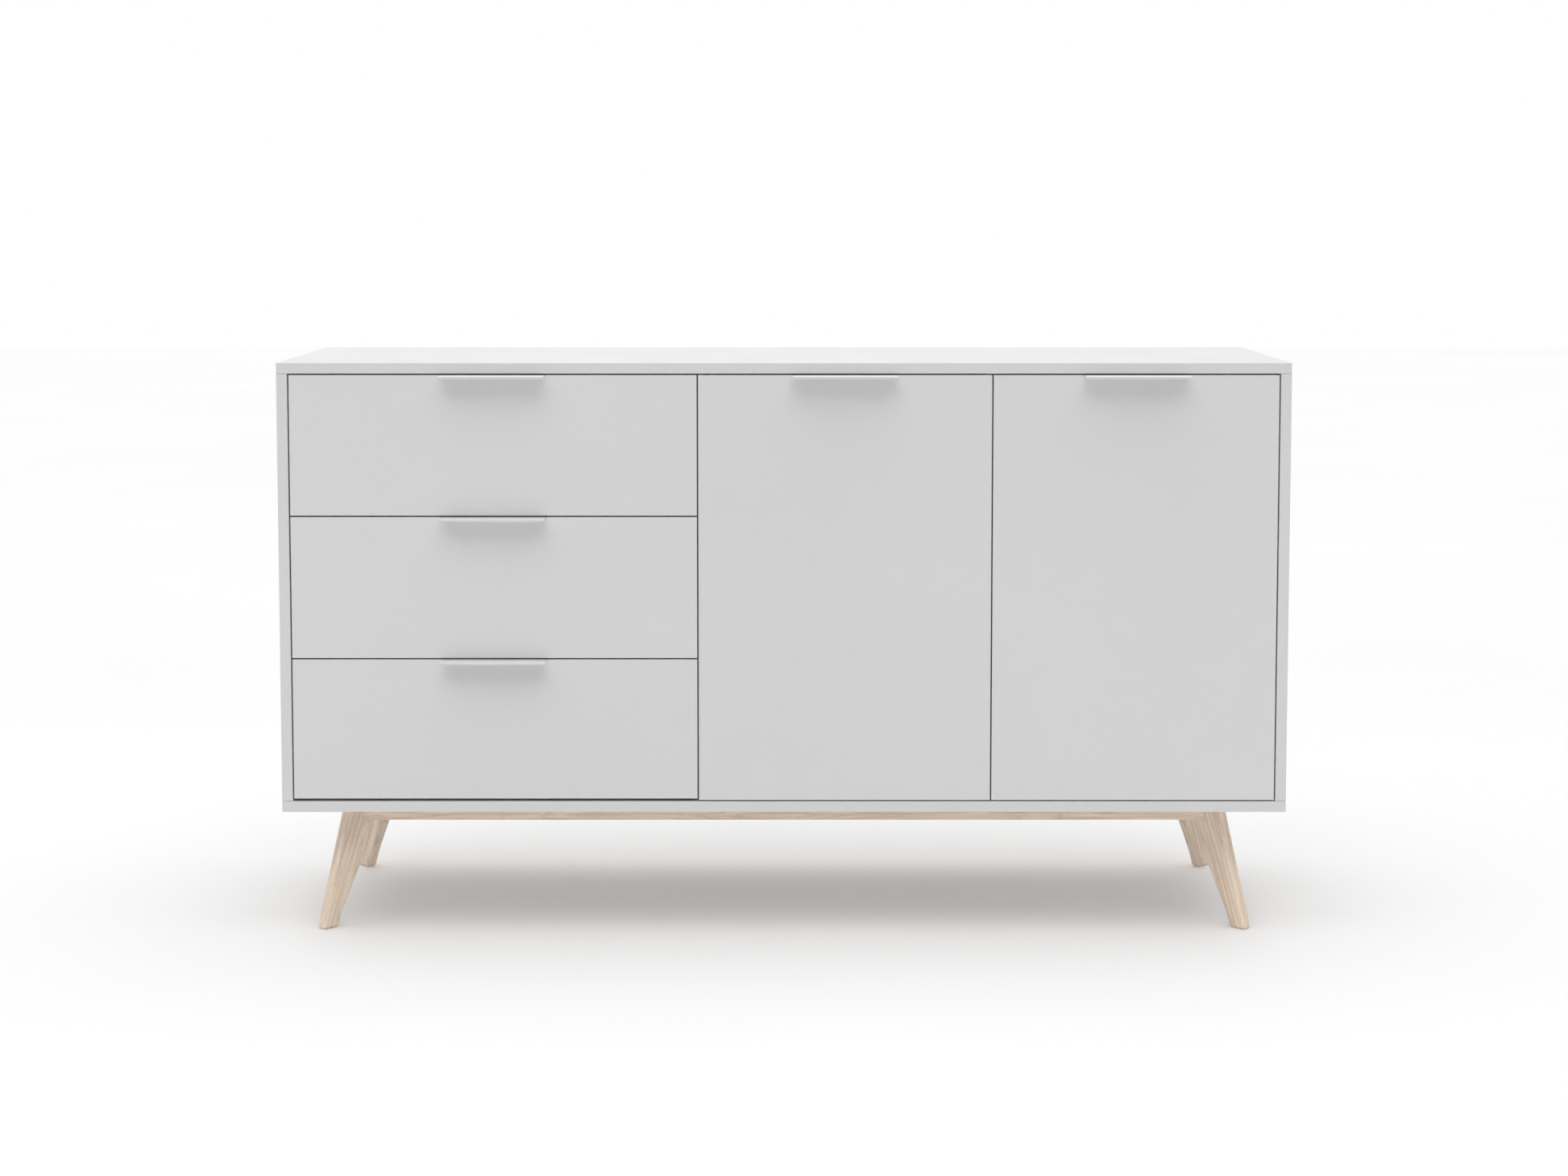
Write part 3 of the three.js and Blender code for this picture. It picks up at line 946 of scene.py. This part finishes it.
class SIDEBOARD_OT_hinges(bpy.types.Operator):
    """Press the hinge cups and arms, and shape the curved links between them"""

    bl_idname = "sideboard.hinges"
    bl_label = "Hinges"

    def execute(self, context):
        nickel = finishes()["nickel plate"]
        pivots = {joint["child"]: joint.get("pos_m") for joint in frame["joints"]}
        for door in DOORS:
            pivot = Vector(pivots[f"door_{door}"])
            for level in ("upper", "lower"):
                cup_node, arm_node = f"hinge_cup_{door}_{level}", f"hinge_arm_{door}_{level}"
                pressed = {cup_node: model_cup(cup_node), arm_node: model_arm(arm_node, door)}
                for node, piece in pressed.items():
                    give(piece, nickel)
                    seat(piece, BODY_OF[node], SLOT_OF[node], node)
                link = model_link(f"hinge_link_{door}_{level}", door, cup_node, pivot)
                give(link, nickel)
                bend_link(link)
        return {"FINISHED"}


class SIDEBOARD_OT_runners(bpy.types.Operator):
    """Roll the runners' channels"""

    bl_idname = "sideboard.runners"
    bl_label = "Runners"

    def execute(self, context):
        zinc = finishes()["zinc plate"]
        for drawer in DRAWERS:
            for side in ("left", "right"):
                for member in ("outer", "inner"):
                    node = f"runner_{drawer}_{side}_{member}"
                    runner = copy_solid(node, f"{node}_rolled")
                    round_edges(runner, 0.5 * MM, segments=2)
                    smooth(runner)
                    give(runner, zinc)
                    seat(runner, BODY_OF[node], SLOT_OF[node], node)
        return {"FINISHED"}


# ---------------------------------------------------------------- fittings


def model_screw():
    """A pan-head screw with a cross recess, its seat at the origin and its head towards +Z."""
    radius = bpy.context.scene.sideboard_sizes.screw_head
    height = radius * 0.5
    head = cylinder("screw_head", radius, height, (0, 0, height / 2), UP, sides=28)
    round_edges(
        head, height * 0.7, segments=3, sharpness=60,
        keep=lambda e: edge_middle(head, e).z > height * 0.9,
    )
    arm, slot = radius * 0.55, radius * 0.13
    for size in ((arm, slot), (slot, arm)):
        tool = block("recess", (-size[0], -size[1], height * 0.4), (size[0], size[1], height * 2))
        cut(head, tool)
    smooth(head)
    return head


def model_cap():
    """A cam cover with a shallow round recess, its seat at the origin and its face towards +Z."""
    cap = cylinder("cam_cap", CAP_RADIUS, CAP_THICK, (0, 0, CAP_THICK / 2), UP, sides=36)
    pick(cap, "polygons", lambda p: p.normal.z > 0.9)
    bpy.ops.mesh.inset(thickness=CAP_RIM)
    push((0, 0, -CAP_RECESS))
    bpy.ops.object.mode_set(mode="OBJECT")
    round_edges(cap, 0.1 * MM, segments=2, sharpness=60)
    smooth(cap)
    return cap


def model_pin():
    """A shelf pin: a shank along +X with a collar, centred where it leaves the wall."""
    hole = bpy.context.scene.sideboard_sizes.hole
    middle = ((PIN_OUT - PIN_IN) / 2, 0, 0)
    shank = cylinder("pin", hole - PIN_SLACK, PIN_IN + PIN_OUT, middle, RIGHT, sides=20)
    round_edges(shank, 0.6 * MM, segments=2, sharpness=60)
    collar = cylinder("collar", hole * 1.7, COLLAR, middle, RIGHT, sides=24)
    round_edges(collar, BURR, segments=2, sharpness=60)
    pin = join([shank, collar], "pin")
    smooth(pin)
    return pin


def facing(direction, place):
    """Turns +Z to direction and moves the origin to place."""
    turn = Vector(direction).to_track_quat("Z", "Y").to_matrix().to_4x4()
    return Matrix.Translation(Vector(place)) @ turn


def spread(model, name, places, material, body, slot):
    """Copies of one model at places, joined into one piece."""
    copies = [copy_piece(model, f"{name}_{i}", place) for i, place in enumerate(places)]
    piece = join(copies, name)
    give(piece, material)
    seat(piece, body, slot)


def pull_screw_places(node):
    low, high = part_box(node)
    ends = low.x + PULL_SCREW_IN, high.x - PULL_SCREW_IN
    return [facing(REAR, (x, high.y, low.z + PULL_SCREW_UP)) for x in ends]


def cup_screw_places(node):
    low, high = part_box(node)
    centre = (low + high) / 2
    x = centre.x + CUP_SCREW_SIDE
    return [facing(REAR, (x, high.y, centre.z + way * CUP_SCREW_APART)) for way in (-1, 1)]


def arm_screw_places(node, door):
    """On the plate above and below the arm, and two adjusting screws on the arm itself."""
    low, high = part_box(node)
    side, face = outward(door), plate_face(node, door)
    y, z = (low.y + high.y) / 2 + PLATE_SCREW_BACK, (low.z + high.z) / 2
    spots = [(face, y, z + way * PLATE_SCREW_APART) for way in (-1, 1)]
    spots += [(face + side * ARM_HEIGHT, high.y - back, z) for back in ARM_SCREWS]
    return [facing((side, 0, 0), spot) for spot in spots]


def cap_places(drawer):
    """On the inside of a drawer's sides, behind its front."""
    places = []
    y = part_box(f"drawer_{drawer}_front")[1].y + CAP_BACK
    for side, way in (("left", RIGHT), ("right", LEFT)):
        low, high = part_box(f"drawer_{drawer}_side_{side}")
        x = high.x if side == "left" else low.x
        places += [facing(way, (x, y, z)) for z in (low.z + CAP_UP, high.z - CAP_DOWN)]
    return places


class SIDEBOARD_OT_fittings(bpy.types.Operator):
    """Add the screws, cam caps and shelf pins"""

    bl_idname = "sideboard.fittings"
    bl_label = "Fittings"

    def execute(self, context):
        kit = finishes()
        nickel, plastic = kit["nickel plate"], kit["moulded white plastic"]
        screw, cap, pin = model_screw(), model_cap(), model_pin()
        for drawer in DRAWERS:
            body, pull = f"drawer_{drawer}", f"pull_drawer_{drawer}"
            spread(screw, f"screws_{body}", pull_screw_places(pull), nickel, body, "nickel")
            spread(cap, f"cam_caps_{body}", cap_places(drawer), plastic, body, "white_melamine")
        for door in DOORS:
            body = f"door_{door}"
            places = pull_screw_places(f"pull_door_{door}")
            plates = []
            for level in ("upper", "lower"):
                places += cup_screw_places(f"hinge_cup_{door}_{level}")
                plates += arm_screw_places(f"hinge_arm_{door}_{level}", door)
            spread(screw, f"screws_{body}", places, nickel, body, "nickel")
            spread(screw, f"screws_hinge_arms_{door}", plates, nickel, "cabinet", "nickel")
            self.pins(pin, door, nickel)
        remove(screw, cap, pin)
        return {"FINISHED"}

    def pins(self, pin, side, nickel):
        """Four pins under a shelf."""
        shelf = f"shelf_{side}"
        walls = {
            "left": (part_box("divider_left")[1].x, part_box("divider_right")[0].x),
            "right": (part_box("divider_right")[1].x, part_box("side_right")[1].x - board_thickness()),
        }[side]
        places = []
        for x, turn in zip(walls, (0, math.pi)):
            for y in pin_rows(shelf):
                place = Matrix.Translation((x, y, pin_height(shelf)))
                places.append(place @ Matrix.Rotation(turn, 4, "Z"))
        spread(pin, f"shelf_pins_{side}", places, nickel, "cabinet", "nickel")


# ---------------------------------------------------------------- stage


def plain_floor(name):
    """Matt pale studio floor with faint unevenness."""
    s = Surface(name, 0.85, specular=0.15)
    tone = s.steps(s.noise(0.8, detail=3), [(0.3, (0.83, 0.83, 0.83)), (0.7, (0.85, 0.85, 0.85))])
    return s.finish(tone, s.span(s.noise(6), 0.8, 0.9))


class SIDEBOARD_OT_stage(bpy.types.Operator):
    """Set up the camera, the floor and the light"""

    bl_idname = "sideboard.stage"
    bl_label = "Stage"

    def execute(self, context):
        stage = context.scene.sideboard_stage
        deselect()
        bpy.ops.object.camera_add(
            location=(0, -stage.camera_distance, stage.camera_height),
            rotation=(math.pi / 2 - stage.camera_pitch, 0, 0),
        )
        camera = context.object
        camera.name = "camera"
        camera.data.sensor_width = 36
        camera.data.lens = stage.camera_lens
        camera.data.shift_y = stage.camera_shift
        context.scene.camera = camera

        floor = self.floor()
        self.sun("shadow_light", stage.shadow_light, AIM)
        overhead = self.sun("overhead_light", stage.overhead, AIM)
        self.share(overhead.light_linking, "receiver_collection", floor, "EXCLUDE")
        floor_light = self.sun("floor_light", stage.floor_light, -UP)
        self.share(floor_light.light_linking, "receiver_collection", floor, "INCLUDE")
        self.share(floor_light.light_linking, "blocker_collection", floor, "INCLUDE")
        self.light("left_light", (-3.6, -2.0, 1.5), (1.6, 2.4), stage.side)
        self.sky(context.scene, stage.sky, stage.backdrop)
        context.scene.view_settings.view_transform = "Standard"
        return {"FINISHED"}

    def sky(self, scene, strength, backdrop):
        """Even light from all round, in front of a brighter plain backdrop."""
        world = bpy.data.worlds.new("even_sky")
        scene.world = world
        world.use_nodes = True
        tree = world.node_tree
        seen = tree.nodes.new("ShaderNodeLightPath").outputs["Is Camera Ray"]
        level = tree.nodes.new("ShaderNodeMapRange")
        tree.links.new(seen, level.inputs["Value"])
        level.inputs["To Min"].default_value = strength
        level.inputs["To Max"].default_value = backdrop
        background = tree.nodes["Background"]
        background.inputs["Color"].default_value = (1, 1, 1, 1)
        tree.links.new(level.outputs["Result"], background.inputs["Strength"])

    def sun(self, name, strength, aim):
        """Broad soft light along aim."""
        deselect()
        bpy.ops.object.light_add(type="SUN", rotation=aim.to_track_quat("-Z", "Y").to_euler())
        lamp = bpy.context.object
        lamp.name = name
        lamp.data.energy = strength
        lamp.data.angle = SUN_SPREAD
        return lamp

    def share(self, linking, kind, floor, state):
        """Has a lamp light, or be shaded by, the floor alone or everything but the floor."""
        collection = bpy.data.collections.new(f"{linking.id_data.name}_{kind}")
        collection.objects.link(floor)
        collection.collection_objects[0].light_linking.link_state = state
        setattr(linking, kind, collection)

    def floor(self):
        deselect()
        bpy.ops.mesh.primitive_plane_add(size=30, location=(0, 0, 0))
        floor = bpy.context.object
        floor.name = "floor"
        give(floor, plain_floor("pale floor"))
        return floor

    def light(self, name, place, size, power):
        """A rectangular lamp at place, turned to the middle of the sideboard."""
        turn = (Vector((0, 0, 0.45)) - Vector(place)).to_track_quat("-Z", "Y").to_euler()
        bpy.ops.object.light_add(type="AREA", location=place, rotation=turn)
        lamp = bpy.context.object
        lamp.name = name
        lamp.data.shape = "RECTANGLE"
        lamp.data.size, lamp.data.size_y = size
        lamp.data.energy = power


class SIDEBOARD_PT_panel(bpy.types.Panel):
    """Sidebar panel of the sideboard's settings and steps"""

    bl_idname = "SIDEBOARD_PT_panel"
    bl_label = "Sideboard"
    bl_space_type = "VIEW_3D"
    bl_region_type = "UI"
    bl_category = "Sideboard"

    def draw(self, context):
        for group in ("sideboard_finishes", "sideboard_sizes", "sideboard_stage"):
            settings = getattr(context.scene, group)
            box = self.layout.box()
            for name in settings.bl_rna.properties.keys():
                if name not in ("rna_type", "name"):
                    box.prop(settings, name)
        for operator in STEPS:
            self.layout.operator(operator.bl_idname)


GROUPS = {
    "sideboard_finishes": SideboardFinishes,
    "sideboard_sizes": SideboardSizes,
    "sideboard_stage": SideboardStage,
}
STEPS = (
    SIDEBOARD_OT_stage,
    SIDEBOARD_OT_boards,
    SIDEBOARD_OT_legs,
    SIDEBOARD_OT_rails,
    SIDEBOARD_OT_pulls,
    SIDEBOARD_OT_hinges,
    SIDEBOARD_OT_runners,
    SIDEBOARD_OT_fittings,
)


def register():
    for cls in (*GROUPS.values(), *STEPS, SIDEBOARD_PT_panel):
        bpy.utils.register_class(cls)
    for name, group in GROUPS.items():
        setattr(bpy.types.Scene, name, bpy.props.PointerProperty(type=group))


def unregister():
    for name in GROUPS:
        delattr(bpy.types.Scene, name)
    for cls in (SIDEBOARD_PT_panel, *reversed(STEPS), *reversed(GROUPS.values())):
        bpy.utils.unregister_class(cls)


def main():
    register()
    for step in STEPS:
        group, name = step.bl_idname.split(".")
        getattr(getattr(bpy.ops, group), name)()
    deselect()


if __name__ == "__main__":
    main()
